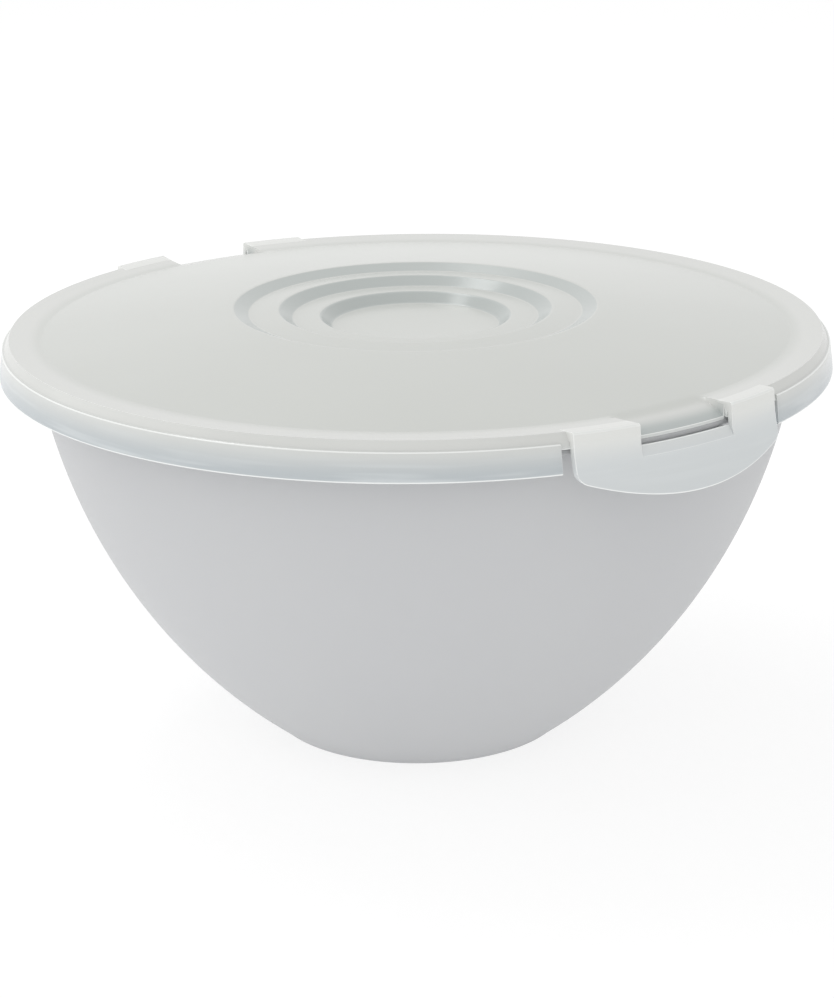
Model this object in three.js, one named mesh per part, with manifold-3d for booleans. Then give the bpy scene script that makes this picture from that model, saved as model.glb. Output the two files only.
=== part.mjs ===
// Lidded salad bowl: a moulded bowl and a snap lid with two flexing clips.
// Millimetres, +Z up. The origin is the middle of the foot, on the table, and the front clip faces -Y.
import * as THREE from 'three';
import { mergeVertices } from 'three/addons/utils/BufferGeometryUtils.js';
import Module from 'manifold-3d';

// Bowl
const bowlHeight = 137.4; // table to the crest of the rim
const bowlWall = 2.2;
const footRadius = 51.6;
const footWidth = 3.2; // flat ring that the bowl stands on
const footRecess = 1.4; // hollow under the middle of the base
const footEdge = 0.6; // bevel round the foot
const sideRadius = 194.6; // the side is one arc from the foot to the rim
const floorRound = 7; // inside, where the floor turns up into the side
const rimRadius = 136.4; // outside of the rim's lip
const rimReach = 8.9; // from the side's top out to the lip
const neckDrop = 8.2; // from the crest down to the side's top
const rimSlope = 0.42; // rise of the rim's top for each millimetre outwards
const rimRound = 4; // fillets between the side and the rim
const crestInset = 8.4; // crest out to the lip's outside
const crestFall = 1.0; // the rim's top falls this much on its way out
const crestRound = 4.0; // and ends this far below the crest, rolled over
const lipDepth = 4.8; // crest to the lip's underside
const lipHook = 1.6; // how far the lip hangs below the rim's underside
const lipEdge = 0.5; // bevel under the lip

// Lid
const seatGap = 0.3; // clearance where one piece sits on another
const lidWall = 1.4;
const bandLift = 2.1; // flat band round the rim: its outer edge above the seat
const bandRise = 0.8; // which it rises to from its inner edge, where the panel ends
const bandInset = 2.5; // bowl's crest in to the band's inner edge
const bandReach = 8.2; // and out to its outer edge
const panelCrown = 0.5; // how far the panel bulges above a plain cone
const shoulderDrop = 3.0; // band's outer edge down to the ledge
const ledgeStep = 0.8;
const skirtGap = 1.0; // lip to the inside of the skirt
const skirtHeight = 9.3;
const skirtFlare = 1.2;
const edgeRound = 0.5;

// Round recess in the middle of the lid, and the three rings that step up from it
const floorRadius = 28.4;
const floorDrop = 0.6; // band's outer edge down to the recess's floor
const rings = [
  { wallRun: 3.7, wallRise: 3.5, stepRun: 9.4, stepFall: 0.6 },
  { wallRun: 4.6, wallRise: 3.0, stepRun: 9.9, stepFall: 1.1 },
  { wallRun: 5.4, wallRise: 2.3, stepRun: 0, stepFall: 0 },
];
const ringRound = 1.2;

// Clips
const clipHalfWidth = 39.5;
const slitWidth = 3.0; // open slit on each side of a clip
const slitRise = 0.4; // the slit ends this far above the ledge
const notchHalfWidth = 18; // open notch in the rim, over the catch
const clipWall = 1.8;
const clipDrop = 18.6; // ledge down to the lowest point of the clip
const clipFlare = 6; // how far the clip's lip stands out past the skirt
const flareBend = 1.75; // how late the clip bends outwards
const clipEndRise = 5; // the lower edge rises this much towards its corners
const clipCorner = 6; // width of its round corners
const cornerRise = 3.6; // and their height
const notchSill = 2.0; // ledge down to the clip's edge in the notch
const blockRise = 0.4; // blocks beside the notch stand above the band
const blockReach = 2.1; // and reach in over it
const blockEdge = 0.5;
const blockInset = 0.2; // face of the blocks, inside the skirt's edge
const webHeight = 0.8; // thin web that the clip bends on
const webThickness = 0.8;
const webInset = 0.6; // face of the web, inside the skirt's edge
const catchBite = 1.2; // reach of the catch under the lip
const catchHeight = 4.5;
const catchTip = 0.9;

const turnSteps = 72; // sides of a full turn
const sideSteps = 10; // of the bowl's side
const roundSteps = 2; // of a large fillet
const crestSteps = 4; // of the rim's rounding
const flareSteps = 8; // of the clip's bend
const edgeSteps = 10; // of the clip's lower edge

// Heights and radii that the pieces share
const crestRadius = rimRadius - crestInset;
const lipBottom = bowlHeight - lipDepth;
const seatHeight = bowlHeight + seatGap;
const bandTop = seatHeight + bandLift;
const bandOuter = crestRadius + bandReach;
const panelEnd = new THREE.Vector2(crestRadius - bandInset, bandTop - bandRise);
const ledgeHeight = bandTop - shoulderDrop;
const skirtBottom = ledgeHeight - skirtHeight;
const skirtTopInside = rimRadius + skirtGap;
const lidRadius = skirtTopInside + lidWall + skirtFlare;
const slitTop = ledgeHeight + slitRise;
const webBottom = ledgeHeight + seatGap;
const webTop = webBottom + webHeight;
const blockBottom = webTop + seatGap;
const blockTop = bandTop + blockRise;
const beyond = 20; // how far cutting shapes reach past what they cut

const wasm = await Module();
wasm.setup();

function point(r, z) {
  return new THREE.Vector2(r, z);
}

// Where the line through a along u meets the line through b along v
function meet(a, u, b, v) {
  const t = b.clone().sub(a).cross(v) / u.cross(v);
  return a.clone().addScaledVector(u, t);
}

// The same line moved sideways, to its right as it runs, with its corners kept sharp
function offset(line, distance) {
  return line.map((p, i) => {
    const before = p.clone().sub(line[Math.max(i - 1, 0)]);
    const after = line[Math.min(i + 1, line.length - 1)].clone().sub(p);
    const first = i > 0 ? before.normalize() : after.clone().normalize();
    const last = i < line.length - 1 ? after.normalize() : first.clone();
    const normal = point(first.y + last.y, -first.x - last.x).normalize();
    const lean = normal.dot(point(last.y, -last.x));
    return p.clone().addScaledVector(normal, distance / lean);
  });
}

// A line with its corners rounded, none by more than the sides beside it allow
function rounded(line, radius, steps = 1) {
  return line.flatMap((p, i) => {
    if (i === 0 || i === line.length - 1) {
      return [p];
    }
    const back = line[i - 1].clone().sub(p);
    const on = line[i + 1].clone().sub(p);
    const cut = Math.min(radius, back.length() * 0.45, on.length() * 0.45);
    const start = p.clone().addScaledVector(back.normalize(), cut);
    const end = p.clone().addScaledVector(on.normalize(), cut);
    return new THREE.QuadraticBezierCurve(start, p, end).getPoints(steps);
  });
}

function arcPoints(centre, radius, from, to, steps) {
  return Array.from({ length: steps + 1 }, (_, i) => {
    const angle = from + ((to - from) * i) / steps;
    return point(centre.x + radius * Math.cos(angle), centre.y + radius * Math.sin(angle));
  });
}

// An outline of (radius, height) points turned about the upright axis
function turned(outline) {
  return new THREE.LatheGeometry(outline, turnSteps).rotateX(Math.PI / 2);
}

function closed(line) {
  return [...line, line[0]];
}

// An outline of (x, z) points seen from the front, made solid over the front half
function frontShape(shape) {
  const options = { depth: lidRadius + clipFlare + beyond, bevelEnabled: false, curveSegments: edgeSteps };
  return new THREE.ExtrudeGeometry(shape, options).rotateX(Math.PI / 2);
}

function frontBox(left, right, bottom, top) {
  const corners = [point(left, bottom), point(right, bottom), point(right, top), point(left, top)];
  return frontShape(new THREE.Shape(corners));
}

function solidOf(geometry) {
  const bare = geometry.clone();
  bare.deleteAttribute('normal');
  bare.deleteAttribute('uv');
  const merged = mergeVertices(bare, 1e-4);
  const kept = [];
  for (let i = 0; i < merged.index.count; i += 3) {
    const [a, b, c] = [0, 1, 2].map((k) => merged.index.getX(i + k));
    if (a !== b && b !== c && c !== a) {
      kept.push(a, b, c);
    }
  }
  const vertProperties = new Float32Array(merged.attributes.position.array);
  const triVerts = new Uint32Array(kept);
  return new wasm.Manifold(new wasm.Mesh({ numProp: 3, vertProperties, triVerts }));
}

function geometryOf(solid) {
  const mesh = solid.getMesh();
  const geometry = new THREE.BufferGeometry();
  geometry.setAttribute('position', new THREE.BufferAttribute(new Float32Array(mesh.vertProperties), 3));
  geometry.setIndex(new THREE.BufferAttribute(new Uint32Array(mesh.triVerts), 1));
  geometry.computeVertexNormals();
  return geometry;
}

// The part of a turned outline that lies within x = left to right, on the front
function sector(outline, left, right) {
  const slab = frontBox(left, right, -beyond, bandTop + beyond);
  return solidOf(turned(closed(outline))).intersect(solidOf(slab));
}

// Both ends of a turned outline between the notch and the clip's ends
function besideNotch(outline, clearance) {
  const inner = notchHalfWidth + clearance;
  const outer = clipHalfWidth - clearance;
  return [sector(outline, -outer, -inner), sector(outline, inner, outer)];
}

function bowlGeometry() {
  const foot = point(footRadius, footEdge);
  const sideTop = point(rimRadius - rimReach, bowlHeight - neckDrop);
  const chord = sideTop.clone().sub(foot);
  const toCentre = Math.sqrt(sideRadius ** 2 - (chord.length() / 2) ** 2);
  const middle = foot.clone().add(sideTop).multiplyScalar(0.5);
  const centre = middle.addScaledVector(point(-chord.y, chord.x).normalize(), toCentre);
  const angleOf = (p) => Math.atan2(p.y - centre.y, p.x - centre.x);
  const outside = arcPoints(centre, sideRadius, angleOf(foot), angleOf(sideTop), sideSteps);

  // The side goes straight on from its top until it turns out into the rim
  const upwards = point(-Math.sin(angleOf(sideTop)), Math.cos(angleOf(sideTop)));
  const alongRim = point(1, rimSlope).normalize();
  const crestInside = point(crestRadius - lipEdge, bowlHeight - lipEdge / 4);
  const hook = point(rimRadius - bowlWall, lipBottom + lipHook);
  const neckOutside = meet(sideTop, upwards, hook, point(1, 0));
  const lip = [
    hook,
    point(hook.x, lipBottom),
    point(rimRadius - lipEdge, lipBottom),
    point(rimRadius, lipBottom + lipEdge),
  ];
  const overStart = point(rimRadius, bowlHeight - crestRound);
  const crest = point(crestRadius, bowlHeight);
  const overCorner = point(rimRadius, bowlHeight - crestFall);
  const rolled = new THREE.QuadraticBezierCurve(overStart, overCorner, crest).getPoints(crestSteps);

  const insideRadius = sideRadius - bowlWall;
  const insideTop = arcPoints(centre, insideRadius, angleOf(sideTop), angleOf(sideTop), 1)[0];
  const neckInside = meet(insideTop, upwards, crestInside, alongRim);
  const floorHeight = footRecess + bowlWall;
  const floorAngle = Math.asin((floorHeight - centre.y) / insideRadius);
  const inside = arcPoints(centre, insideRadius, angleOf(sideTop), floorAngle, sideSteps);
  const floorCorner = inside.pop();

  const outline = [
    point(0, footRecess),
    point(footRadius - footWidth - footRecess, footRecess),
    point(footRadius - footWidth, 0),
    point(footRadius - footEdge, 0),
    ...outside,
    ...rounded([sideTop, neckOutside, hook], rimRound, roundSteps).slice(1, -1),
    ...lip,
    ...rolled,
    crestInside,
    ...rounded([crestInside, neckInside, inside[1]], rimRound, roundSteps).slice(1, -1),
    ...inside.slice(1, -1),
    ...rounded([inside.at(-2), floorCorner, point(0, floorHeight)], floorRound, roundSteps).slice(1, -1),
    point(0, floorHeight),
  ];
  return turned(outline);
}

// From the middle of the lid out to the end of the panel, along the top
function panelLine() {
  const floorHeight = bandTop - floorDrop;
  const line = [point(0, floorHeight), point(floorRadius, floorHeight)];
  for (const { wallRun, wallRise, stepRun, stepFall } of rings) {
    const crest = line.at(-1).clone().add(point(wallRun, wallRise));
    line.push(crest, crest.clone().add(point(stepRun, -stepFall)));
  }
  const outerCrest = line.pop();
  const between = outerCrest.clone().add(panelEnd).multiplyScalar(0.5);
  between.y += panelCrown;
  return rounded([...line, between, panelEnd], ringRound);
}

function plainLid() {
  const ledge = point(skirtTopInside + lidWall - ledgeStep, ledgeHeight);
  const band = rounded([panelEnd, point(bandOuter, bandTop), ledge], edgeRound);
  const top = [...panelLine(), ...band.slice(1)];
  const skirt = [point(skirtTopInside + lidWall, ledgeHeight), point(lidRadius, skirtBottom)];
  const under = [point(lidRadius - lidWall, skirtBottom), point(skirtTopInside, ledgeHeight - lidWall)];
  const outline = [
    ...top,
    ...rounded([ledge, ...skirt, under[0]], edgeRound).slice(1, -1),
    ...under,
    ...offset(top, lidWall).reverse(),
  ];
  return solidOf(turned(outline.reverse()));
}

function clipRadius(z) {
  const t = Math.max(0, ledgeHeight - z) / clipDrop;
  return lidRadius + clipFlare * t ** flareBend;
}

// What the lid loses at a clip: the skirt between the slits, and the notch through the rim's band
function clipOpening() {
  const far = lidRadius + beyond;
  const halfWidth = clipHalfWidth + slitWidth;
  const lowest = skirtBottom - beyond;
  const skirtCut = [
    point(rimRadius, lowest),
    point(far, lowest),
    point(far, slitTop),
    point(rimRadius, slitTop),
  ];
  const notchTop = blockTop + beyond / 2;
  const notchCut = [
    point(panelEnd.x, lowest),
    point(far, lowest),
    point(far, notchTop),
    point(panelEnd.x, notchTop),
  ];
  const notch = sector(notchCut, -notchHalfWidth, notchHalfWidth);
  return sector(skirtCut, -halfWidth, halfWidth).add(notch);
}

// Blocks that stiffen the rim beside the notch
function clipBlocks() {
  const face = lidRadius - blockInset;
  const back = bandOuter - blockReach;
  const outline = [
    point(bandOuter, blockBottom),
    point(face, blockBottom),
    point(face - blockInset, blockTop - blockEdge),
    point(face - blockInset - blockEdge, blockTop),
    point(back, blockTop),
    point(back, bandTop - blockEdge),
  ];
  const [left, right] = besideNotch(outline, 0);
  return left.add(right);
}

function lidGeometry() {
  let lid = plainLid();
  for (const turn of [0, 180]) {
    lid = lid.subtract(clipOpening().rotate([0, 0, turn]));
    lid = lid.add(clipBlocks().rotate([0, 0, turn]));
  }
  return geometryOf(lid);
}

function clipGeometry() {
  const lowest = ledgeHeight - clipDrop;
  const depth = clipDrop + clipWall;
  const heights = Array.from({ length: flareSteps + 1 }, (_, i) => ledgeHeight - (depth * i) / flareSteps);
  const outside = heights.map((z) => point(clipRadius(z), z));
  const inside = outside.map((p) => point(p.x - clipWall, p.y));
  const wall = sector([...inside, ...outside.reverse()], -clipHalfWidth, clipHalfWidth);

  // Seen from the front: a deep curved lower edge with round corners, and the sill of the notch
  const cornerStart = clipHalfWidth - clipCorner;
  const edgeHeight = lowest + clipEndRise;
  const front = new THREE.Shape();
  front.moveTo(-clipHalfWidth - beyond, ledgeHeight + beyond);
  front.lineTo(-clipHalfWidth, edgeHeight + cornerRise);
  front.quadraticCurveTo(-clipHalfWidth, edgeHeight, -cornerStart, edgeHeight);
  front.quadraticCurveTo(0, 2 * lowest - edgeHeight, cornerStart, edgeHeight);
  front.quadraticCurveTo(clipHalfWidth, edgeHeight, clipHalfWidth, edgeHeight + cornerRise);
  front.lineTo(clipHalfWidth + beyond, ledgeHeight + beyond);
  const sill = frontBox(-notchHalfWidth, notchHalfWidth, ledgeHeight - notchSill, ledgeHeight + beyond);
  return geometryOf(wall.intersect(solidOf(frontShape(front))).subtract(solidOf(sill)));
}

function catchGeometry() {
  const top = lipBottom - seatGap;
  const tip = rimRadius - catchBite;
  const backAt = (z) => clipRadius(z) - clipWall - seatGap;
  const outline = [
    point(tip, top),
    point(tip, top - catchTip),
    point(backAt(top - catchHeight), top - catchHeight),
    point(backAt(top), top),
  ];
  const halfWidth = notchHalfWidth - seatGap;
  return geometryOf(sector(outline, -halfWidth, halfWidth));
}

function webGeometries() {
  const face = lidRadius - webInset;
  const outline = [
    point(face - webThickness, webBottom),
    point(face, webBottom),
    point(face, webTop),
    point(face - webThickness, webTop),
  ];
  return besideNotch(outline, seatGap).map(geometryOf);
}

const bowlPlastic = { color: 0xc6c7c9, roughness: 0.5, metalness: 0 };
const lidPlastic = { color: 0xd5d7d4, roughness: 0.38, metalness: 0 };

function named(name, geometry, finish) {
  const mesh = new THREE.Mesh(geometry, new THREE.MeshStandardMaterial(finish));
  mesh.name = name;
  return mesh;
}

// One clip with its catch and the two webs that it hangs from
function clipGroup(side, turn) {
  const group = new THREE.Group();
  const [left, right] = webGeometries();
  group.add(named(`${side}_clip`, clipGeometry(), lidPlastic));
  group.add(named(`${side}_catch`, catchGeometry(), lidPlastic));
  group.add(named(`${side}_hinge_left`, left, lidPlastic));
  group.add(named(`${side}_hinge_right`, right, lidPlastic));
  group.rotation.z = turn;
  return group;
}

const saladBowl = new THREE.Group();
saladBowl.add(named('bowl', bowlGeometry(), bowlPlastic));
saladBowl.add(named('lid', lidGeometry(), lidPlastic));
saladBowl.add(clipGroup('front', 0));
saladBowl.add(clipGroup('rear', Math.PI));

export default saladBowl;
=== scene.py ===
import math

import bmesh
import bpy
from mathutils import Matrix, Vector


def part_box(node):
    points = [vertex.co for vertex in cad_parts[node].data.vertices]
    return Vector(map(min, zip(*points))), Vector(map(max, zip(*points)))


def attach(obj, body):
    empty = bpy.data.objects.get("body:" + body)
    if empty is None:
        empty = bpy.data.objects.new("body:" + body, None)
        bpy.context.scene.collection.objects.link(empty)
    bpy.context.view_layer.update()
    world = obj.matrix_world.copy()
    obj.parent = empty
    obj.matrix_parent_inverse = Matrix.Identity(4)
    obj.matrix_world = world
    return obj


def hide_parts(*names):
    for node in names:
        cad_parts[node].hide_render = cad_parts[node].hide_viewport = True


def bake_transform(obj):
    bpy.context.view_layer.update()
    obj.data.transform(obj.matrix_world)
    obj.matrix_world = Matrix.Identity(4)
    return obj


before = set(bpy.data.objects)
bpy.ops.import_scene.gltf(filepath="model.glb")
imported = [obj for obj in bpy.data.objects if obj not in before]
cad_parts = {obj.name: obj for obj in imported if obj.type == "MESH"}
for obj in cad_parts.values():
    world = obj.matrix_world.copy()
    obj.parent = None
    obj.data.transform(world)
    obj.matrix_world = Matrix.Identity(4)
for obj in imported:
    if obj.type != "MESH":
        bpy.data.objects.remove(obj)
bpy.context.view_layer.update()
scene = bpy.context.scene
mm = 0.001
print("frame loaded:", len(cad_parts), "nodes")

# sizes that the looks take over from the frame, in millimetres
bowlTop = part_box("bowl")[1] / mm
lidLow, lidHigh = (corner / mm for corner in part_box("lid"))
clipLow, clipHigh = (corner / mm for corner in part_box("front_clip"))
catchLow, catchHigh = (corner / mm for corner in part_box("front_catch"))
blendBottom, blendTop = (corner.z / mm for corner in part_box("front_hinge_left"))


# small tools for outlines of (radius, height) points in millimetres
drawing = {
    "straight": 1.565,  # radians, half the angle of a corner that is as good as straight
    "cutShare": 0.49,  # of a side that one rounding may take up
    "leastMiter": 0.3,  # keeps a moved line's sharp corners from running off
}


def smooth(t):
    t = max(0.0, min(1.0, t))
    return t * t * (3 - 2 * t)


def mixed(a, b, t):
    return a + (b - a) * t


# even steps from a towards b, without b itself
def spread(a, b, count):
    return [mixed(a, b, i / count) for i in range(count)]


# each corner is (radius, height) or (radius, height, rounding); a rounding is a true arc
def rounded(corners, steps):
    points = [Vector(c[:2]) for c in corners]
    line = [points[0]]
    for i in range(1, len(points) - 1):
        corner = points[i]
        back, on = points[i - 1] - corner, points[i + 1] - corner
        rounding = corners[i][2] if len(corners[i]) > 2 else 0
        half = back.angle(on) / 2
        if not rounding or half > drawing["straight"]:
            line.append(corner)
            continue
        share = drawing["cutShare"]
        cut = min(rounding / math.tan(half), share * back.length, share * on.length)
        start, end = corner + back.normalized() * cut, corner + on.normalized() * cut
        for k in range(steps + 1):
            t = k / steps
            a, b, c = (1 - t) ** 2, 2 * t * (1 - t) * math.sin(half), t * t
            line.append((start * a + corner * b + end * c) / (a + b + c))
    return line + [points[-1]]


# arc from start to end that bulges to the right of its way
def bow(start, end, radius, steps):
    start, end = Vector(start), Vector(end)
    chord = end - start
    side = Vector((-chord.y, chord.x)).normalized()
    centre = (start + end) / 2 + side * math.sqrt(radius ** 2 - (chord.length / 2) ** 2)
    a, b = (math.atan2(p.y - centre.y, p.x - centre.x) for p in (start, end))
    arc = [centre + radius * Vector((math.cos(t), math.sin(t))) for t in spread(a, b, steps)]
    return arc + [end], centre


# soft bend from start to end that leans towards the corner
def bent(start, corner, end, steps):
    start, corner, end = Vector(start), Vector(corner), Vector(end)
    ts = [i / steps for i in range(steps + 1)]
    return [start * (1 - t) ** 2 + corner * 2 * t * (1 - t) + end * t * t for t in ts]


# the line moved to its right by a distance
def moved(line, distance):
    out = []
    for i, p in enumerate(line):
        before = (p - line[i - 1]).normalized() if i else (line[1] - p).normalized()
        after = (line[i + 1] - p).normalized() if i < len(line) - 1 else before
        normal = Vector((before.y + after.y, -before.x - after.x)).normalized()
        miter = normal.dot(Vector((after.y, -after.x)))
        out.append(p + normal * distance / max(drawing["leastMiter"], miter))
    return out


def asPoints(line):
    return [(p.x, p.y) for p in line]


# small tools for Blender
mixA, mixB, mixColour = 6, 7, 2  # a Mix node's colour inputs and its colour output


def linear(hexColour):
    values = [int(hexColour[i:i + 2], 16) / 255 for i in (1, 3, 5)]
    return [v / 12.92 if v <= 0.04045 else ((v + 0.055) / 1.055) ** 2.4 for v in values] + [1.0]


# adds a node; each input is given a value or the socket that feeds it
def addNode(tree, kind, inputs=None, **settings):
    node = tree.nodes.new(kind)
    for name, value in settings.items():
        setattr(node, name, value)
    for name, value in (inputs or {}).items():
        if isinstance(value, bpy.types.NodeSocket):
            tree.links.new(value, node.inputs[name])
        else:
            node.inputs[name].default_value = value
    return node


def addPiece(name, mesh, finish):
    piece = bpy.data.objects.new(name, mesh)
    scene.collection.objects.link(piece)
    if finish.name not in mesh.materials:
        mesh.materials.append(finish)
    return piece


def softEdges(mesh, degrees):
    mesh.shade_smooth()
    mesh.set_sharp_from_angle(angle=math.radians(degrees))


def newPlastic(name):
    plastic = bpy.data.materials.new(name)
    plastic.use_nodes = True
    return plastic


# gives a plastic its colour and bump, and a gloss that varies with the clouding
def finishPlastic(plastic, look, colour, cloud, bump):
    tree = plastic.node_tree
    inputs = tree.nodes["Principled BSDF"].inputs
    gloss = addNode(tree, "ShaderNodeMapRange", {
        "Value": cloud,
        "To Min": look["roughness"] - look["roughnessSpread"] / 2,
        "To Max": look["roughness"] + look["roughnessSpread"] / 2})
    tree.links.new(colour, inputs["Base Color"])
    tree.links.new(gloss.outputs["Result"], inputs["Roughness"])
    tree.links.new(bump.outputs["Normal"], inputs["Normal"])
    inputs["IOR"].default_value = look["index"]
    inputs["Specular IOR Level"].default_value = look["sheen"]
    return plastic


# satin polypropylene, injection moulded in an etched mould: opaque, an even soft sheen,
# a fine etched grain, and rubbed lighter where the foot slides on a table
bowlFinish = {
    "colour": "#BEBFC0",
    "cloud": "#BBBCBE",
    "rubbed": "#CBCCCD",
    "index": 1.49,  # of refraction
    "sheen": 0.3,
    "roughness": 0.52,
    "roughnessSpread": 0.08,
    "grain": 1.1,  # mm; the real etching is about 0.2 mm and would not show, so it is drawn coarser
    "grainDepth": 0.006,  # mm
    "cloudSize": 60,  # mm, the faint flow clouding of the melt
    "cloudDetail": 2.0,
    "grainDetail": 1.0,
    "rubHeight": 1.6,  # mm up the foot
}


def makeBowlPlastic(look):
    plastic = newPlastic("moulded satin polypropylene")
    tree = plastic.node_tree
    place = addNode(tree, "ShaderNodeTexCoord").outputs["Object"]
    height = addNode(tree, "ShaderNodeSeparateXYZ", {"Vector": place}).outputs["Z"]
    cloud, grain = (addNode(tree, "ShaderNodeTexNoise", {
        "Vector": place, "Scale": 1 / (size * mm), "Detail": detail}).outputs["Fac"] for size, detail in (
            (look["cloudSize"], look["cloudDetail"]),
            (look["grain"], look["grainDetail"])))
    clouded = addNode(tree, "ShaderNodeMix", {
        "Factor": cloud, mixA: linear(look["colour"]), mixB: linear(look["cloud"])}, data_type="RGBA")
    low = addNode(tree, "ShaderNodeMapRange", {
        "Value": height, "From Min": look["rubHeight"] * mm, "From Max": 0.0})
    scuff = addNode(tree, "ShaderNodeMath", {0: low.outputs["Result"], 1: grain}, operation="MULTIPLY")
    colour = addNode(tree, "ShaderNodeMix", {
        "Factor": scuff.outputs["Value"], mixA: clouded.outputs[mixColour],
        mixB: linear(look["rubbed"])}, data_type="RGBA")
    bump = addNode(tree, "ShaderNodeBump", {
        "Height": grain, "Distance": look["grainDepth"] * mm, "Strength": 1.0})
    return finishPlastic(plastic, look, colour.outputs[mixColour], cloud, bump)


# low-density polyethylene, injection moulded and thin: milky, waxy and half glossy. Painted light makes it
# lighter where it lies on the bowl's rim; cooler and streaked in the skirt and clips, which stand free,
# with painted shade growing down them; painted shade in the steep walls of the rings and down the panel
# where it droops and thins in a notch; and a painted highlight whitens its edges, where light gathers in it
lidFinish = {
    "panel": "#C7C9C5",
    "cloud": "#C4C6C2",
    # painted light: lighter where the lid lies on the bowl's rim, for light coming back through the thin
    # plastic
    "band": "#CFD0CD",
    # cooler tone with painted shade growing down the free-standing skirt
    "skirt": "#B4BABD",
    "clip": "#DBDCD9",
    # the clips' flaps take the same cooler tone and painted shade lower down
    "clipLow": "#CED2D3",
    "streak": "#D2D6D7",
    # painted shade on the steep walls of the rings and down the panel's droop in a notch
    "wall": "#B5BAB8",
    # painted highlight along sharp edges, where light gathers in the plastic
    "edge": "#F0F2F0",
    "bandFrom": 125.6,  # mm from the middle
    "bandTo": 130.5,
    "skirtFrom": 138.6,  # mm above the table
    "skirtTo": 128.5,
    "streakFrom": 0.45,  # of the noise
    "streakTo": 0.7,
    "streakShare": 0.45,
    "edgeHighlightShare": 0.8,
    "index": 1.51,  # of refraction
    "sheen": 0.4,
    "roughness": 0.21,
    "roughnessSpread": 0.04,
    "ripple": 7.0,  # mm, the waxy unevenness of a thin moulding
    "rippleDepth": 0.012,
    "grain": 0.9,  # mm, drawn coarser than the real polish marks so that it shows
    "grainDepth": 0.0025,
    "cloudSize": 45,
    "cloudDetail": 2.0,
    "fineDetail": 1.0,
    "streakSize": (40, 40, 2.2),  # mm along and across
}


def makeLidPlastic(look):
    plastic = newPlastic("moulded milky polyethylene")
    tree = plastic.node_tree
    place = addNode(tree, "ShaderNodeTexCoord").outputs["Object"]
    height = addNode(tree, "ShaderNodeSeparateXYZ", {"Vector": place}).outputs["Z"]
    flat = addNode(tree, "ShaderNodeVectorMath", {
        0: place, 1: (1, 1, 0)}, operation="MULTIPLY").outputs["Vector"]
    radius = addNode(tree, "ShaderNodeVectorMath", {0: flat}, operation="LENGTH").outputs["Value"]
    streaky = [1 / (size * mm) for size in look["streakSize"]]
    drawn = addNode(tree, "ShaderNodeVectorMath", {
        0: place, 1: streaky}, operation="MULTIPLY").outputs["Vector"]
    fine = look["fineDetail"]
    cloud, ripple, grain, melt = (addNode(tree, "ShaderNodeTexNoise", {
        "Vector": where, "Scale": scale, "Detail": detail}).outputs["Fac"] for where, scale, detail in (
            (place, 1 / (look["cloudSize"] * mm), look["cloudDetail"]),
            (place, 1 / (look["ripple"] * mm), fine),
            (place, 1 / (look["grain"] * mm), fine),
            (drawn, 1.0, fine)))
    edge, wall, thick = (
        addNode(tree, "ShaderNodeAttribute", attribute_name=name).outputs["Fac"]
        for name in ("edge", "wall", "thick"))
    paintedRimLight, inSkirt, streak = (addNode(tree, "ShaderNodeMapRange", {
        "Value": value, "From Min": start, "From Max": end},
        interpolation_type="SMOOTHSTEP").outputs["Result"] for value, start, end in (
            (radius, look["bandFrom"] * mm, look["bandTo"] * mm),
            (height, look["skirtFrom"] * mm, look["skirtTo"] * mm),
            (melt, look["streakFrom"], look["streakTo"])))
    lowClip, lowStreak, paintedEdgeHighlight = (
        addNode(tree, "ShaderNodeMath", {0: one, 1: other}, operation="MULTIPLY").outputs["Value"]
        for one, other in ((thick, inSkirt), (streak, inSkirt), (edge, look["edgeHighlightShare"])))
    faint = addNode(tree, "ShaderNodeMath", {
        0: lowStreak, 1: look["streakShare"]}, operation="MULTIPLY").outputs["Value"]
    colour = linear(look["panel"])
    for layer, share in (
        ("cloud", cloud),
        # painted light over the bowl's rim
        ("band", paintedRimLight),
        # painted shade on the steep ring walls and down a notch's droop
        ("wall", wall),
        # painted shade down the skirt and the clips' lower parts
        ("skirt", inSkirt),
        ("clip", thick),
        ("clipLow", lowClip),
        ("streak", faint),
        ("edge", paintedEdgeHighlight),
    ):
        colour = addNode(tree, "ShaderNodeMix", {
            "Factor": share, mixA: colour, mixB: linear(look[layer])}, data_type="RGBA").outputs[mixColour]
    waves = addNode(tree, "ShaderNodeBump", {
        "Height": ripple, "Distance": look["rippleDepth"] * mm, "Strength": 1.0})
    bump = addNode(tree, "ShaderNodeBump", {
        "Height": grain, "Distance": look["grainDepth"] * mm, "Strength": 1.0,
        "Normal": waves.outputs["Normal"]})
    return finishPlastic(plastic, look, colour, cloud, bump)


bowlPlastic = makeBowlPlastic(bowlFinish)
lidPlastic = makeLidPlastic(lidFinish)
print("plastics made")


# the bowl: one outline turned round the upright axis, in millimetres
bowl = {
    "steps": 256,  # sides of a full turn
    "pathRadius": 100,  # mm, of the circle that the outline follows
    "wall": 2.2,
    "footRadius": 51.6,
    "footWidth": 3.2,
    "footEdge": 0.6,
    "footRound": 0.5,
    "recess": 1.4,  # hollow under the base
    "recessRound": 1.0,
    "sideRadius": 194.6,
    "sideSteps": 40,
    "floorRound": 7,
    "rimReach": 8.9,  # side's top out to the lip
    "neckDrop": 8.2,  # crest down to the side's top
    "neckRound": 3.0,
    "crestInset": 8.4,
    "crestFall": 1.0,
    "crestRound": 0.8,
    "crestDip": 0.9,  # crest down to the inside's edge, and the rounding there
    "rollDepth": 4.0,
    "rollSteps": 14,
    "lipDepth": 4.8,
    "lipHook": 1.6,
    "hookRound": 0.6,
    "lipEdge": 0.5,
    "footArc": 4,  # steps of a rounding
    "rimArc": 6,
    "floorArc": 12,
    "softAngle": 40,  # degrees; a sharper fold shows as an edge
    "weld": 0.01,
}


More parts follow.
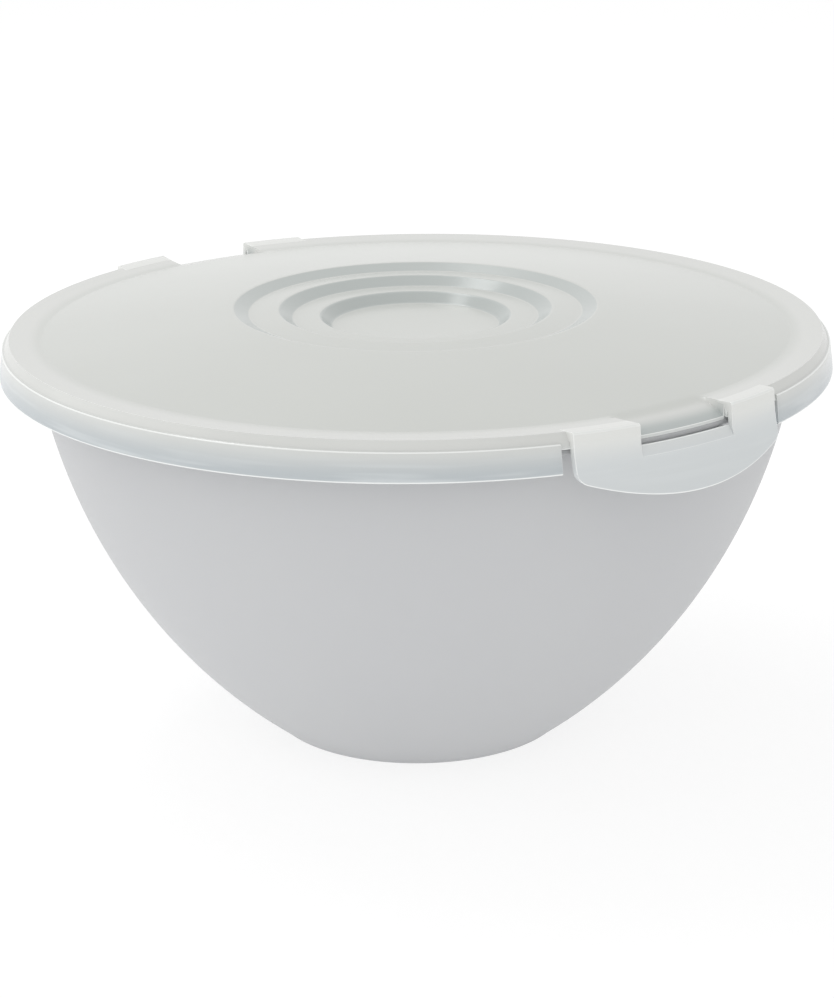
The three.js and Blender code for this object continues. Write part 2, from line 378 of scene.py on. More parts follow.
# the rim's outer side, from the lip up to the crest
def bowlRoll(b):
    rim, top = bowlTop.x, bowlTop.z
    lip, corner = (rim, top - b["rollDepth"]), (rim, top - b["crestFall"])
    return bent(lip, corner, (rim - b["crestInset"], top), b["rollSteps"])


def bowlOutline(b):
    rim, top, wall = bowlTop.x, bowlTop.z, b["wall"]
    foot = (b["footRadius"], b["footEdge"])
    sideTop = (rim - b["rimReach"], top - b["neckDrop"])
    outside, centre = bow(foot, sideTop, b["sideRadius"], b["sideSteps"])
    lean = math.atan2(sideTop[1] - centre.y, sideTop[0] - centre.x)
    lipBottom = top - b["lipDepth"]
    hook = (rim - wall, lipBottom + b["lipHook"])
    neckRadius = sideTop[0] - math.tan(lean) * (hook[1] - sideTop[1])
    crest = (rim - b["crestInset"], top)
    roll = bowlRoll(b)
    insideTop = centre + (b["sideRadius"] - wall) * Vector((math.cos(lean), math.sin(lean)))
    floor = b["recess"] + wall
    floorLean = math.asin((floor - centre.y) / (b["sideRadius"] - wall))
    inside = [
        centre + (b["sideRadius"] - wall) * Vector((math.cos(t), math.sin(t)))
        for t in spread(lean, floorLean, b["sideSteps"])
    ]
    under = rounded([
        (0, b["recess"]),
        (b["footRadius"] - b["footWidth"] - b["recess"], b["recess"], b["recessRound"]),
        (b["footRadius"] - b["footWidth"], 0, b["footRound"]),
        (b["footRadius"] - b["footEdge"] / 2, 0, b["footRound"]),
        foot,
    ], b["footArc"])
    rimLine = rounded([
        *asPoints(outside[-2:]),
        (neckRadius, hook[1], b["neckRound"]),
        (*hook, b["hookRound"]),
        (hook[0], lipBottom, b["lipEdge"]),
        (rim, lipBottom, b["lipEdge"]),
        *asPoints(roll[:-1]),
        (*crest, b["crestRound"]),
        (crest[0] - wall, top - b["crestDip"], b["crestDip"]),
        (*insideTop, 0),
        *asPoints(inside[1:2]),
    ], b["rimArc"])
    floorLine = rounded([
        *asPoints(inside[1:-1]),
        (*inside[-1], b["floorRound"]),
        (0, floor),
    ], b["floorArc"])
    return [*under[:-1], *outside[:-2], *rimLine[:-1], *floorLine]


# tree that sweeps an outline, drawn in the XZ plane, round a circle
def makeTurningTree():
    tree = bpy.data.node_groups.new("turned moulding", "GeometryNodeTree")
    for name, kind in (
        ("Outline", "NodeSocketGeometry"),
        ("Steps", "NodeSocketInt"),
        ("Path radius", "NodeSocketFloat"),
        ("Weld", "NodeSocketFloat"),
        ("Plastic", "NodeSocketMaterial"),
    ):
        tree.interface.new_socket(name, in_out="INPUT", socket_type=kind)
    tree.interface.new_socket("Turned", in_out="OUTPUT", socket_type="NodeSocketGeometry")
    given = addNode(tree, "NodeGroupInput").outputs
    inward = addNode(tree, "ShaderNodeMath", {0: given["Path radius"], 1: -1.0}, operation="MULTIPLY")
    shift = addNode(tree, "ShaderNodeCombineXYZ", {"X": inward.outputs["Value"]})
    line = addNode(tree, "GeometryNodeMeshToCurve", {"Mesh": given["Outline"]})
    lying = addNode(tree, "GeometryNodeTransform", {
        "Geometry": line.outputs["Curve"], "Translation": shift.outputs["Vector"],
        "Rotation": (math.pi / 2, 0, 0)})
    circle = addNode(tree, "GeometryNodeCurvePrimitiveCircle", {
        "Resolution": given["Steps"], "Radius": given["Path radius"]})
    upright = addNode(tree, "GeometryNodeSetCurveNormal", {"Curve": circle.outputs["Curve"]}, mode="Z_UP")
    swept = addNode(tree, "GeometryNodeCurveToMesh", {
        "Curve": upright.outputs["Curve"], "Profile Curve": lying.outputs["Geometry"]})
    welded = addNode(tree, "GeometryNodeMergeByDistance", {
        "Geometry": swept.outputs["Mesh"], "Distance": given["Weld"]})
    real = addNode(tree, "GeometryNodeRealizeInstances", {"Geometry": welded.outputs["Geometry"]})
    painted = addNode(tree, "GeometryNodeSetMaterial", {
        "Geometry": real.outputs["Geometry"], "Material": given["Plastic"]})
    addNode(tree, "NodeGroupOutput", {"Turned": painted.outputs["Geometry"]})
    return tree


def turnedPiece(name, outline, sizes, finish):
    drawn = bpy.data.meshes.new(name + " outline")
    points = [(p.x * mm, 0, p.y * mm) for p in outline]
    drawn.from_pydata(points, [(i, i + 1) for i in range(len(points) - 1)], [])
    pattern = bpy.data.objects.new(name + " pattern", drawn)
    scene.collection.objects.link(pattern)
    turning = pattern.modifiers.new("turning", "NODES")
    turning.node_group = makeTurningTree()
    values = {"Steps": sizes["steps"], "Path radius": sizes["pathRadius"] * mm,
              "Weld": sizes["weld"] * mm, "Plastic": finish}
    for socket in turning.node_group.interface.items_tree:
        if socket.in_out == "INPUT" and socket.name in values:
            turning[socket.identifier] = values[socket.name]
    graph = bpy.context.evaluated_depsgraph_get()
    mesh = bpy.data.meshes.new_from_object(pattern.evaluated_get(graph))
    bpy.data.objects.remove(pattern)
    mesh.name = name
    work = bmesh.new()
    work.from_mesh(mesh)
    if work.calc_volume(signed=True) < 0:
        bmesh.ops.reverse_faces(work, faces=work.faces)
    work.to_mesh(mesh)
    work.free()
    softEdges(mesh, sizes["softAngle"])
    return addPiece(name, mesh, finish)


saladBowl = turnedPiece("salad_bowl", bowlOutline(bowl), bowl, bowlPlastic)
print("bowl turned:", len(saladBowl.data.polygons), "faces")


# marks that the lid's plastic follows: "edge" where the surface bulges sharply, for a painted highlight,
# "wall" for painted shade on the rings' steep walls and down the panel where it droops and thins in a
# notch, "thick" in the clips
marks = {
    "bulgeFrom": 0.5,  # 1/mm
    "bulgeTo": 1.6,
    "ringsTo": 64,  # mm from the middle
    "steepFrom": 0.015,  # fall of the normal's height at which a wall begins to count as steep
    "steepTo": 0.075,
    "droopFrom": 1.4,  # mm below the rim band at which painted shade begins on the panel drooping in a notch
    "droopTo": 3.4,
}


def markLooks(work, thick, m):
    work.normal_update()
    clips = work.verts.layers.float.new("thick")
    edge = work.verts.layers.float.new("edge")
    wall = work.verts.layers.float.new("wall")
    for v in work.verts:
        v[clips] = thick
        # painted highlight where the surface bulges sharply
        bend = sum(e.calc_face_angle_signed(0) * e.calc_length() for e in v.link_edges)
        bulge = 2 * mm * bend / sum(f.calc_area() for f in v.link_faces)
        v[edge] = smooth((bulge - m["bulgeFrom"]) / (m["bulgeTo"] - m["bulgeFrom"]))
        radius = v.co.xy.length / mm
        # painted shade on the rings' steep walls, and down the panel as it droops below the band in a notch
        if v.normal.z > 0 and radius < m["ringsTo"]:
            v[wall] = smooth((1 - v.normal.z - m["steepFrom"]) / (m["steepTo"] - m["steepFrom"]))
        elif v.normal.z > 0 and not thick and crestRadius < radius < bandOuter:
            fall = bandAt(radius) - v.co.z / mm
            v[wall] = smooth((fall - m["droopFrom"]) / (m["droopTo"] - m["droopFrom"]))


# how sections are joined into a mesh
moulding = {
    "axis": 1e-6,  # mm; points nearer to the middle are one
    "digits": 4,  # decimals of a millimetre that tell two points apart
    "sharpTurn": 0.3,  # radians at which a cut's edge is rounded, or a hollow corner counts as one
    "cutSegments": 2,
    "cutProfile": 0.5,  # a round one
    "softAngle": 25,  # degrees; a sharper fold shows as an edge
}


# a moulding built from sections side by side: columns[i] places a (radius, height) point, kinds[i] names
# the section between columns i and i + 1, and where that changes the end of the larger one is closed off
def sectionMesh(name, columns, kinds, outlineAt, around, cutRound):
    m = moulding
    work = bmesh.new()
    made = {}
    count = len(columns)

    def vertexAt(i, p):
        key = (-1 if p.x < m["axis"] else i, round(p.x, m["digits"]), round(p.y, m["digits"]))
        if key not in made:
            made[key] = work.verts.new(columns[i](p.x, p.y) * mm)
        return made[key]

    def addFace(corners):
        kept = [v for k, v in enumerate(corners) if v is not corners[k - 1]]
        return work.faces.new(kept) if len(kept) > 2 else None

    for i, kind in enumerate(kinds):
        j = (i + 1) % count
        here, there = outlineAt(i, kind), outlineAt(j, kind)
        for k in range(len(here) - 1):
            corners = ((i, here[k]), (i, here[k + 1]), (j, there[k + 1]), (j, there[k]))
            addFace([vertexAt(at, p) for at, p in corners])
    ends = []
    for i in range(count):
        if around or 0 < i < count - 1:
            one, other = outlineAt(i, kinds[i - 1]), outlineAt(i, kinds[i])
            if kinds[i - 1] == kinds[i]:
                continue
            a, b = 0, 1
            while one[a] == other[a]:
                a += 1
            while one[-b] == other[-b]:
                b += 1
            rim = one[a - 1:len(one) - b + 2] + other[a:len(other) - b + 1][::-1]
        else:
            rim = outlineAt(i, kinds[0 if i == 0 else -1])[:-1]
        ends.append(addFace([vertexAt(i, p) for p in rim]))
    bmesh.ops.recalc_face_normals(work, faces=work.faces)
    if cutRound:
        turns = {e: e.calc_face_angle_signed(0) for face in ends for e in face.edges}
        # a rounding stops short of the corners of hollows
        hollow = {v for e, turn in turns.items() if turn < -m["sharpTurn"] for v in e.verts}
        sharp = [e for e, turn in turns.items()
                 if turn > m["sharpTurn"] and not hollow.intersection(e.verts)]
        bmesh.ops.bevel(work, geom=sharp, offset=cutRound * mm, segments=m["cutSegments"],
                        profile=m["cutProfile"], affect="EDGES", clamp_overlap=False)
    if work.calc_volume(signed=True) < 0:
        bmesh.ops.reverse_faces(work, faces=work.faces)
    markLooks(work, 0 if around else 1, marks)
    mesh = bpy.data.meshes.new(name)
    work.to_mesh(mesh)
    work.free()
    softEdges(mesh, m["softAngle"])
    return mesh


# the lid: its section is turned round, and changes at the clips' slits and notches; in millimetres
lid = {
    "wall": 1.4,
    "floorRadius": 28.4,
    "floorDrop": 0.6,  # rim band's outer edge down to the floor of the round recess
    "rings": [  # wall run and rise, step run and fall, from the recess outwards
        (3.7, 3.5, 9.4, 0.6),
        (4.6, 3.0, 9.9, 1.1),
        (5.4, 2.18, 0, 0),
    ],
    "ringRound": 2.2,
    "crown": 0.42,  # the panel bulges this much above a plain cone
    "panelSteps": 12,
    "panelRadii": (120.5, 122.0, 123.0, 124.0),  # points of the panel outside straightFrom
    "bandInset": 2.5,  # bowl's crest in to the panel's end
    "bandReach": 8.2,  # and out to the band's outer edge
    "bandRise": 0.8,
    "bandRound": 1.4,
    "endRound": 4.0,  # where the panel meets the band
    "underGap": 0.06,  # the band is thicker than the wall by this
    "underRound": 0.6,
    "shoulderDrop": 3.0,
    "ledgeStep": 0.8,
    "skirtFlare": 1.2,
    "skirtShares": (0.15, 0.3, 0.5, 0.7, 0.85),  # points of the skirt, as shares of its height
    "facetGap": 0.03,  # keeps the skirt inside the frame's facets
    "edgeRound": 0.6,
    "droopFrom": 124.0,  # the panel droops in a notch, onto the bowl's rolled rim
    "droopTo": 136.4,
    "droopRadii": (126.4, 127.3, 128.2, 129.6, 131.0, 132.4, 133.6, 134.6, 135.4),  # points of the droop
    "droopRound": 6.0,
    "droopWall": 0.5,
    "droopEdge": 0.25,
    "droopTurns": (0.5, 1.05, 1.57),  # radians, points of the droop's round edge
    "droopEase": (6.0, 0.5),  # from a notch's end to the full droop, at the inner and the outer side
    "slitRise": 0.4,
    "slitWidth": 3.0,
    "slitDrop": 1.9,  # ledge down to the top of a slit
    "bridgeWall": 1.1,
    "bridgeInset": 0.1,
    "bridgeRound": 0.3,
    "bridgeTuck": 0.15,  # over the clip's end
    "notchHalf": 18,
    "cheek": 1.6,  # solid ends beside a notch
    "cheekDrop": 1.7,
    "cheekGap": 0.12,
    "cheekOut": 0.1,
    "straightFrom": 118,  # columns run straight back outside this radius
    "cutRound": 0.12,  # rounding of the cut edges
    "arc": 6,  # steps of a rounding
    "edgeArc": 4,
    "notchSteps": 12,
    "clipSteps": 8,
    "slitSteps": 2,
    "sideSteps": 48,
    "fade": 0.4,  # radians over which the columns turn radial again
}
ledge = clipHigh.z
bandTop = ledge + lid["shoulderDrop"]
crestRadius = bowlTop.x - bowl["crestInset"]
bandOuter = crestRadius + lid["bandReach"]
panelEnd = (crestRadius - lid["bandInset"], bandTop - lid["bandRise"])
skirtRadius = lidHigh.x - lid["facetGap"]
skirtTop = skirtRadius - lid["skirtFlare"]
slitTop = ledge + lid["slitRise"]


# height of a line at a radius
def heightAt(line, r):
    a, b = next((a, b) for a, b in zip(line, line[1:]) if r <= b.x or b is line[-1])
    return mixed(a.y, b.y, (r - a.x) / (b.x - a.x))


# height of the lid's rim band
def bandAt(r):
    return mixed(panelEnd[1], bandTop, (r - panelEnd[0]) / (bandOuter - panelEnd[0]))


# radius of the lid's shoulder at a height
def shoulderAt(z):
    return mixed(bandOuter, skirtTop - lid["ledgeStep"], (bandTop - z) / lid["shoulderDrop"])


# sections of the lid: whole, above a slit, at a clip, beside a notch, and in it, where it changes across
def lidOutlines(d):
    wall = d["wall"]
    floor = bandTop - d["floorDrop"]
    corners = [(0, floor), (d["floorRadius"], floor, d["ringRound"])]
    for wallRun, wallRise, stepRun, stepFall in d["rings"]:
        crest = (corners[-1][0] + wallRun, corners[-1][1] + wallRise)
        corners.append((*crest, d["ringRound"]))
        if stepRun:
            corners.append((crest[0] + stepRun, crest[1] - stepFall, d["ringRound"]))
    outer = Vector(corners[-1][:2])
    end = Vector(panelEnd)

    def panelAt(radius):
        t = (radius - outer.x) / (end.x - outer.x)
        return Vector((radius, mixed(outer.y, end.y, t) + d["crown"] * 4 * t * (1 - t)))

    panel = [panelAt(r) for r in spread(outer.x, d["straightFrom"], d["panelSteps"])[1:]]
    split = panelAt(d["straightFrom"])
    top = rounded([*corners, *asPoints([*panel, split])], d["arc"])
    beyond = [panelAt(r) for r in d["panelRadii"]]

    shoulder = (bandOuter, bandTop)
    ledgeIn = (skirtTop - d["ledgeStep"], ledge)
    slope = (ledgeIn[0] - shoulder[0]) / d["shoulderDrop"]
    slitOut = (shoulderAt(slitTop), slitTop)
    leanWall = wall * math.hypot(1, slope)
    slitIn = (slitOut[0] - leanWall, slitTop)
    bandUnder = bandTop - wall - d["underGap"]
    underCorner = (slitIn[0] - slope * (bandUnder - slitTop), bandUnder, d["underRound"])

    drooping = (*d["droopRadii"], d["droopTo"] - d["droopEdge"])
    band = rounded([
        *asPoints([split, *beyond]),
        (*panelEnd, d["endRound"]),
        *((r, bandAt(r)) for r in drooping),
        (*shoulder, d["bandRound"]),
        slitOut,
    ], d["arc"])
    skirt = rounded([
        slitOut,
        (*ledgeIn, d["edgeRound"]),
        (skirtTop, ledge, d["edgeRound"]),
        *((mixed(skirtTop, skirtRadius, t), mixed(ledge, lidLow.z, t)) for t in d["skirtShares"]),
        (skirtRadius, lidLow.z, d["edgeRound"]),
        (skirtRadius - wall, lidLow.z, d["edgeRound"]),
        (skirtTop - wall, ledge - wall, d["edgeRound"]),
        slitIn,
    ], d["edgeArc"])
    slitLow = ledge - d["slitDrop"]
    bridgeOut = skirtTop - d["bridgeInset"]
    bridge = rounded([
        slitOut,
        (bridgeOut, slitLow, d["bridgeRound"]),
        (bridgeOut - d["bridgeWall"], slitLow, d["bridgeRound"]),
        (skirtTop - wall, ledge - wall, d["edgeRound"]),
        slitIn,
    ], d["edgeArc"])
    below = moved(top, wall)[::-1]
    below[-1].x = 0
    panelUnder = (panelEnd[0], panelEnd[1] - wall, d["endRound"])
    under = rounded([slitIn, underCorner, panelUnder, below[0]], d["edgeArc"])
    overRim = (panelEnd[0], bowlTop.z + d["cheekGap"])
    roll = moved(bowlRoll(bowl), d["cheekGap"])
    onRoll = [p for p in roll if p.x < d["droopTo"]]
    overRoll = [p for p in moved(bowlRoll(bowl), d["cheekGap"] + d["droopWall"]) if p.x < d["droopTo"]]
    drooped = rounded([
        *asPoints([split, *beyond[:1]]),
        (d["droopFrom"], panelAt(d["droopFrom"]).y, d["droopRound"]),
        (*overRoll[-1], d["droopRound"]),
        *asPoints(overRoll[-2::-1]),
    ], d["arc"])
    easing = [p for p in band if p.x < d["droopTo"]]

    def inNotch(x):
        line = []
        for p in easing:
            outward = smooth((p.x - easing[0].x) / (crestRadius + d["bandInset"] - easing[0].x))
            t = smooth((d["notchHalf"] - abs(x)) / mixed(*d["droopEase"], outward))
            line.append(Vector((p.x, mixed(p.y, heightAt(drooped, p.x), t))))
        edge = d["droopEdge"]
        lip = [line[-1] + Vector((edge * math.sin(k), edge * (math.cos(k) - 1))) for k in d["droopTurns"]]
        return [*top, *line[1:], *lip, *onRoll, Vector(overRim), *below]

    cheekLow = ledge - d["cheekDrop"]
    rim = [p for p in roll if p.y > cheekLow]
    cheek = [Vector(p) for p in (
        (slitOut[0] + d["cheekOut"], cheekLow), (rim[0].x, cheekLow), *asPoints(rim), overRim)]

    return {
        "whole": [*top, *band[1:], *skirt[1:], *under[1:], *below[1:]],
        "bridge": [*top, *band[1:], *bridge[1:], *under[1:], *below[1:]],
        "atClip": [*top, *band[1:], *under, *below[1:]],
        "cheek": [*top, *band[1:], *cheek, *below],
        "inNotch": inNotch,
    }


# where the lid's sections stand, which kind each is, and how far each is from a clip's middle
def lidColumns(d):
    straight = d["straightFrom"]
    notch, cheek, flap, slit, last = (math.asin(x / straight) for x in (
        d["notchHalf"], d["notchHalf"] + d["cheek"], clipHigh.x - d["bridgeTuck"],
        clipHigh.x + d["slitWidth"], d["notchHalf"] - d["droopEase"][1]))
    quarter = [
        *spread(0, last, d["notchSteps"]), last, notch,
        *spread(cheek, flap, d["clipSteps"]),
        *spread(flap, slit, d["slitSteps"]),
        *spread(slit, math.pi / 2, d["sideSteps"]), math.pi / 2,
    ]
    half = [-a for a in quarter[:0:-1]] + quarter[:-1]
    ends = (("inNotch", notch), ("cheek", cheek), ("atClip", flap), ("bridge", slit), ("whole", math.pi))

    # straight back beside a clip, and radial again further round
    def column(turn, a):
        fade = smooth(1 - (abs(a) - slit) / d["fade"])

        def place(r, z):
            back = math.asin(straight * math.sin(a) / max(r, straight)) if fade else a
            angle = turn + mixed(a, back, fade)
            return Vector((r * math.sin(angle), -r * math.cos(angle), z))

        return place

    columns, kinds, across = [], [], []
    for turn in (0, math.pi):
        for a, b in zip(half, half[1:] + [math.pi / 2]):
            middle = abs(a + b) / 2
            columns.append(column(turn, a))
            across.append(straight * math.sin(a))
            kinds.append(next(kind for kind, end in ends if middle < end))
    return columns, kinds, across


lidSections = lidOutlines(lid)
lidPlaces, lidKinds, lidAcross = lidColumns(lid)


def lidOutlineAt(i, kind):
    return lidSections[kind](lidAcross[i]) if kind == "inNotch" else lidSections[kind]


lidMesh = sectionMesh("lid_shell", lidPlaces, lidKinds, lidOutlineAt, True, lid["cutRound"])
lidShell = addPiece("lid_shell", lidMesh, lidPlastic)
print("lid moulded:", len(lidMesh.polygons), "faces")


# the clips: blocks on the lid's rim, and the flap that hangs from them and bends at its top; in millimetres
clip = {
    "wall": 1.8,
    "flareBend": 1.75,
    "endRise": 7.2,  # lower edge rises to its ends
    "corner": 2.5,
    "cornerRise": 2.6,
    "cornerTurns": (0, 18, 36, 54, 66),  # degrees; the last step leaves room for the cut edge
    "sill": 3.6,  # ledge down to the flap's edge in the notch
    "chamfer": 2.9,
    "sillRound": 0.3,
    "sillFlat": 0.5,
    "sillStep": 1.5,  # sill up to the next point of the face
    "ledgeGap": 0.6,  # ledge down to the face's last point
    "bendSteps": 4,
    "bendLean": 0.04,  # inwards at each step of the bend
    "blockRise": 0.4,
    "blockReach": 3.0,
    "blockInset": 0.35,
    "blockLift": 0.02,  # of the block's back edge above the band
    "blockRound": 0.9,
    "blockOver": 0.15,  # past the notch's ends
    "blockInto": 1.0,  # the band
    "plugInto": 0.4,  # the shoulder, at the blocks' solid ends
    "plugRise": 0.1,
    "plugOut": 0.2,
    "plugDrop": 0.3,
    "hollowRise": 0.5,  # the hollow behind a block, above the bend and below the ledge
    "hollowDrop": 0.3,
    "webInset": 0.2,
    "webThickness": 0.9,
    "lipRound": 0.85,
    "cutRound": 0.12,
    "arc": 5,  # steps of a rounding
    "rows": 12,
    "columnStep": 1.5,
}


# radius of the flap's outer face at a height
def flapRadius(z):
    fall = max(0, (ledge - z) / (ledge - clipLow.z))
    return skirtRadius + (-clipLow.y - skirtRadius) * fall ** clip["flareBend"]


# height of the flap's lower edge, which is curved and has round corners
def lowerEdge(x, d):
    past = max(0, abs(x) - clipHigh.x + d["corner"]) / d["corner"]
    corner = d["cornerRise"] * (1 - math.sqrt(max(0, 1 - past ** 2)))
    return clipLow.z + d["endRise"] * (x / clipHigh.x) ** 2 + corner


# sections of a clip: the flap alone in the notch's window, a block, and a block's solid end, the plug
def clipOutline(x, kind, d):
    wall, low = d["wall"], lowerEdge(x, d)
    sillTop = ledge - d["sill"]
    sillFront = sillTop - d["chamfer"]
    foot = [(flapRadius(low) - wall, low, d["lipRound"]), (flapRadius(low), low, d["lipRound"])]
    face = [(flapRadius(z), z) for z in spread(low, sillFront, d["rows"])[1:] + [sillFront]]
    inside = [(flapRadius(z) - wall, z) for z in spread(sillTop, low, d["rows"])]
    if kind == "window":
        face[-1] = (*face[-1], d["sillRound"])
        head = [(inside[0][0] + d["sillFlat"], sillTop, d["sillRound"])]
    else:
        back, steps = bandOuter - d["blockReach"], d["bendSteps"]
        head = [
            *((flapRadius(z), z) for z in (sillTop, sillTop + d["sillStep"], ledge - d["ledgeGap"])),
            *((skirtRadius - d["bendLean"] * k, mixed(ledge, blendTop, k / steps))
              for k in range(steps + 1)),
            (skirtRadius - d["blockInset"], bandTop + d["blockRise"], d["blockRound"]),
            (back, bandAt(back) + d["blockLift"]),
            (back, bandAt(back) - d["blockInto"]),
        ]
    if kind == "plug":
        head += [
            (bandOuter - d["plugInto"], bandTop - d["blockInto"]),
            (shoulderAt(slitTop) - d["plugInto"], slitTop + d["plugRise"]),
            (shoulderAt(slitTop) + d["plugOut"], slitTop - d["plugDrop"]),
            (skirtRadius - wall, ledge - d["ledgeGap"]),
        ]
    elif kind == "block":
        web = skirtRadius - d["webInset"] - d["webThickness"]
        head += [
            (bandOuter, blendTop + d["hollowRise"]),
            (web, blendTop),
            (web, blendBottom),
            (skirtRadius - wall, ledge - d["hollowDrop"]),
        ]
    return rounded([inside[-1], *foot, *face, *head, *inside], d["arc"])


# a piece that runs across the clip: its columns stand at these distances from the middle
def acrossMesh(name, xs, kinds, outlineAt, turn, cutRound):
    spin = Matrix.Rotation(turn, 3, "Z")
    columns = [lambda r, z, x=x: spin @ Vector((x, -math.sqrt(r * r - x * x), z)) for x in xs]
    return sectionMesh(name, columns, kinds, outlineAt, False, cutRound)


def clipMesh(name, d, turn):
    notch, inner, step = lid["notchHalf"] - d["blockOver"], clipHigh.x - d["corner"], d["columnStep"]
    half = spread(0, notch, round(notch / step)) + spread(notch, inner, round((inner - notch) / step))
    half += [inner + d["corner"] * math.sin(math.radians(a)) for a in d["cornerTurns"]] + [clipHigh.x]
    xs = [-x for x in half[:0:-1]] + half
    kinds = []
    for a, b in zip(xs, xs[1:]):
        middle = abs(a + b) / 2
        solid = middle < notch + step or middle > inner + d["corner"] / 2
        kinds.append("window" if middle < notch else "plug" if solid else "block")
    return acrossMesh(name, xs, kinds, lambda i, kind: clipOutline(xs[i], kind, d), turn, d["cutRound"])


# ribs behind the flaps that catch under the bowl's lip, in millimetres
rib = {
    "tip": 0.9,
    "tipRound": 0.5,
    "into": 0.5,  # the flap
    "cutRound": 0.2,
    "arc": 4,  # steps of a rounding
    "steps": 24,
}


def ribMesh(name, d, turn):
    tip = math.hypot(catchHigh.y, catchHigh.x)
    behind = [(flapRadius(z) - clip["wall"] + d["into"], z) for z in (catchLow.z, catchHigh.z)]
    line = rounded([
        *behind,
        (tip, catchHigh.z, d["tipRound"]),
        (tip, catchHigh.z - d["tip"], d["tipRound"]),
        behind[0],
    ], d["arc"])
    xs = spread(-catchHigh.x, catchHigh.x, d["steps"]) + [catchHigh.x]
    return acrossMesh(name, xs, ["rib"] * d["steps"], lambda i, kind: line, turn, d["cutRound"])


for side, turn in (("front", 0), ("rear", math.pi)):
    flap = addPiece(side + "_clip_moulding", clipMesh(side + "_clip_moulding", clip, turn), lidPlastic)
    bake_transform(flap)
    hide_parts(side + "_clip", side + "_hinge_left", side + "_hinge_right")
    catch = addPiece(side + "_catch_rib", ribMesh(side + "_catch_rib", rib, turn), lidPlastic)
    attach(catch, side + "_clip")
    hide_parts(side + "_catch")
    print(side, "clip moulded:", len(flap.data.polygons), "faces")

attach(saladBowl, "bowl")
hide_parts("bowl")
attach(lidShell, "lid")
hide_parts("lid")


# a pale floor under a white studio; the background is plain white for the eye
studio = {
    "floor": "#F4F4F4",
    "floorSize": 12.0,  # m
    "white": "#FFFFFF",
    "whiteLight": 1.0,
    "worldLight": 0.784,
    "glow": 0.7,  # share of the floor's white that shadows don't reach
    "glowLift": 1.1,
    "tableLight": 0.36,  # light that the translucent table gives upwards
}


# 1 where a surface is looked at, straight or through a gloss, and 0 where it only lights other things
def lookedAt(tree):
    ray = addNode(tree, "ShaderNodeLightPath").outputs
    seen = ray["Is Camera Ray"]
    for other in ("Is Glossy Ray", "Is Transmission Ray"):
        seen = addNode(tree, "ShaderNodeMath", {
            0: seen, 1: ray[other]}, operation="MAXIMUM").outputs["Value"]
    return seen


def makeFloor(s):
    mesh = bpy.data.meshes.new("studio_floor")
    half = s["floorSize"] / 2
    corners = [(-half, -half, 0), (half, -half, 0), (half, half, 0), (-half, half, 0)]
    mesh.from_pydata(corners, [], [(0, 1, 2, 3)])
    paper = bpy.data.materials.new("white paper floor")
    paper.use_nodes = True
    tree = paper.node_tree
    tree.nodes.clear()
    paperColour = linear(s["floor"])
    shadedColour = [(1 - s["glow"]) * c for c in paperColour[:3]] + [1]
    plain, shaded = (
        addNode(tree, "ShaderNodeAddShader", {
            0: addNode(tree, "ShaderNodeBsdfDiffuse", {"Color": colour}).outputs["BSDF"],
            1: addNode(tree, "ShaderNodeEmission", {"Strength": strength}).outputs["Emission"],
        }).outputs["Shader"]
        for colour, strength in ((paperColour, s["tableLight"]), (shadedColour, s["glow"] * s["glowLift"])))
    mix = addNode(tree, "ShaderNodeMixShader", {0: lookedAt(tree), 1: plain, 2: shaded})
    addNode(tree, "ShaderNodeOutputMaterial", {"Surface": mix.outputs["Shader"]})
    floor = addPiece("studio_floor", mesh, paper)


def makeWorld(s):
    world = bpy.data.worlds.new("white studio")
    scene.world = world
    world.use_nodes = True
    tree = world.node_tree
    tree.nodes.clear()
    light, white = (
        addNode(tree, "ShaderNodeBackground", {
            "Color": linear(s["white"]), "Strength": strength}).outputs["Background"]
        for strength in (s["worldLight"], s["whiteLight"]))
    mix = addNode(tree, "ShaderNodeMixShader", {0: lookedAt(tree), 1: light, 2: white})
    addNode(tree, "ShaderNodeOutputWorld", {"Surface": mix.outputs["Shader"]})


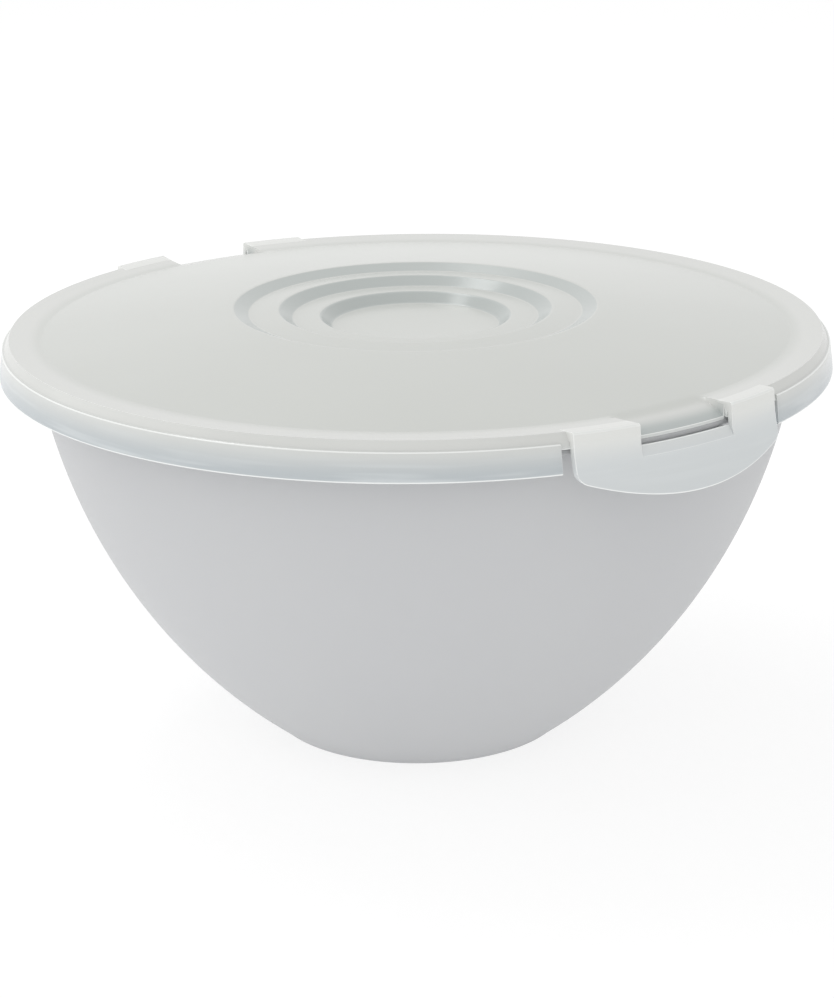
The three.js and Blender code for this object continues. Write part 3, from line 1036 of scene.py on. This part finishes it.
makeFloor(studio)
makeWorld(studio)

# soft panels, one each to the left and in front, and a strip behind that glints in the rings and on the
# rim; a panel's first size runs the way that along gives
lamps = {
    "leftPanel": {"place": (-1.2, 0.85, 0.7), "size": (1.8, 1.4), "along": (0, 0, 1), "watts": 4.6},
    "frontPanel": {"place": (-0.7, -1.0, 0.9), "size": (1.0, 1.0), "along": (0, 0, 1), "watts": 1.4},
    "rearStrip": {
        "place": (-0.12, 0.71, 1.4), "size": (1.15, 0.3), "along": (-0.577, -0.26, 0.09), "watts": 4.8},
}
lampAim = Vector((0, 0, 0.1))  # m, the point that every lamp faces
for name, lamp in lamps.items():
    light = bpy.data.lights.new(name, "AREA")
    light.shape = "RECTANGLE"
    light.size, light.size_y = lamp["size"]
    light.energy = lamp["watts"]
    holder = bpy.data.objects.new(name, light)
    back = (Vector(lamp["place"]) - lampAim).normalized()
    across = back.cross(Vector(lamp["along"])).normalized()
    turned = Matrix((across.cross(back), across, back)).transposed()
    holder.matrix_world = Matrix.LocRotScale(Vector(lamp["place"]), turned.to_quaternion(), None)
    scene.collection.objects.link(holder)
print("studio lit")

# the photograph's camera: 834 x 998 pixels, the long side on the sensor's 36 mm
view = {
    "lens": 93.93,  # mm
    "place": (-0.4949, -0.6961, 0.3603),  # m
    "target": (-0.0001, 0.0001, 0.0767),
    "roll": 0.612,  # degrees
}


def makeCamera(v):
    camera = bpy.data.objects.new("photo_camera", bpy.data.cameras.new("photo_camera"))
    camera.data.lens = v["lens"]
    place = Vector(v["place"])
    forward = (Vector(v["target"]) - place).normalized()
    right = forward.cross(Vector((0, 0, 1))).normalized()
    up = right.cross(forward)
    roll = math.radians(v["roll"])
    x = right * math.cos(roll) - up * math.sin(roll)
    y = right * math.sin(roll) + up * math.cos(roll)
    turned = Matrix((x, y, -forward)).transposed()
    camera.matrix_world = Matrix.LocRotScale(place, turned.to_quaternion(), None)
    scene.collection.objects.link(camera)
    scene.camera = camera


makeCamera(view)
scene.view_settings.view_transform = "Standard"
print("camera set")
